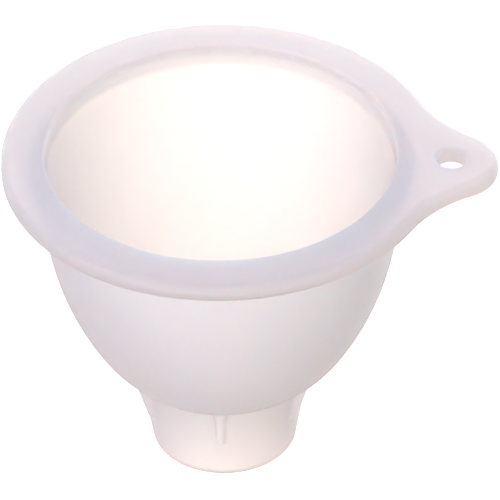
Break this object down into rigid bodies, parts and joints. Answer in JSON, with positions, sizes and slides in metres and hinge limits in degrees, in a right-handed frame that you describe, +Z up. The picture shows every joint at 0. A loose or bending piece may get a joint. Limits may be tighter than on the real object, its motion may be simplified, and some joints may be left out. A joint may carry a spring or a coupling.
{
  "type": "wide-mouth funnel",
  "caption": "Translucent silicone jar funnel: deep round bowl, flat flanged rim with a hanging tab, and a short wide spout with vent ribs.",
  "frame": {"origin": "under the middle of the bounding box, on the plane that the foot of the spout stands on; the funnel's own axis is the vertical line at x = -7.5 mm, y = 0", "axes": "+Z up the funnel's axis from the foot to the mouth, +X from the axis towards the hanging tab, +Y across the tab"},
  "size_m": [0.13, 0.115, 0.0957],
  "materials": {
    "silicone": "satin, translucent milky white"
  },
  "bodies": {
    "root": {"rim_ring": "silicone", "hang_tab": "silicone", "bowl_shell": "silicone", "spout_tube": "silicone", "vent_rib_1": "silicone", "vent_rib_2": "silicone", "vent_rib_3": "silicone", "vent_rib_4": "silicone", "vent_rib_5": "silicone", "vent_rib_6": "silicone"}
  },
  "joints": []
}
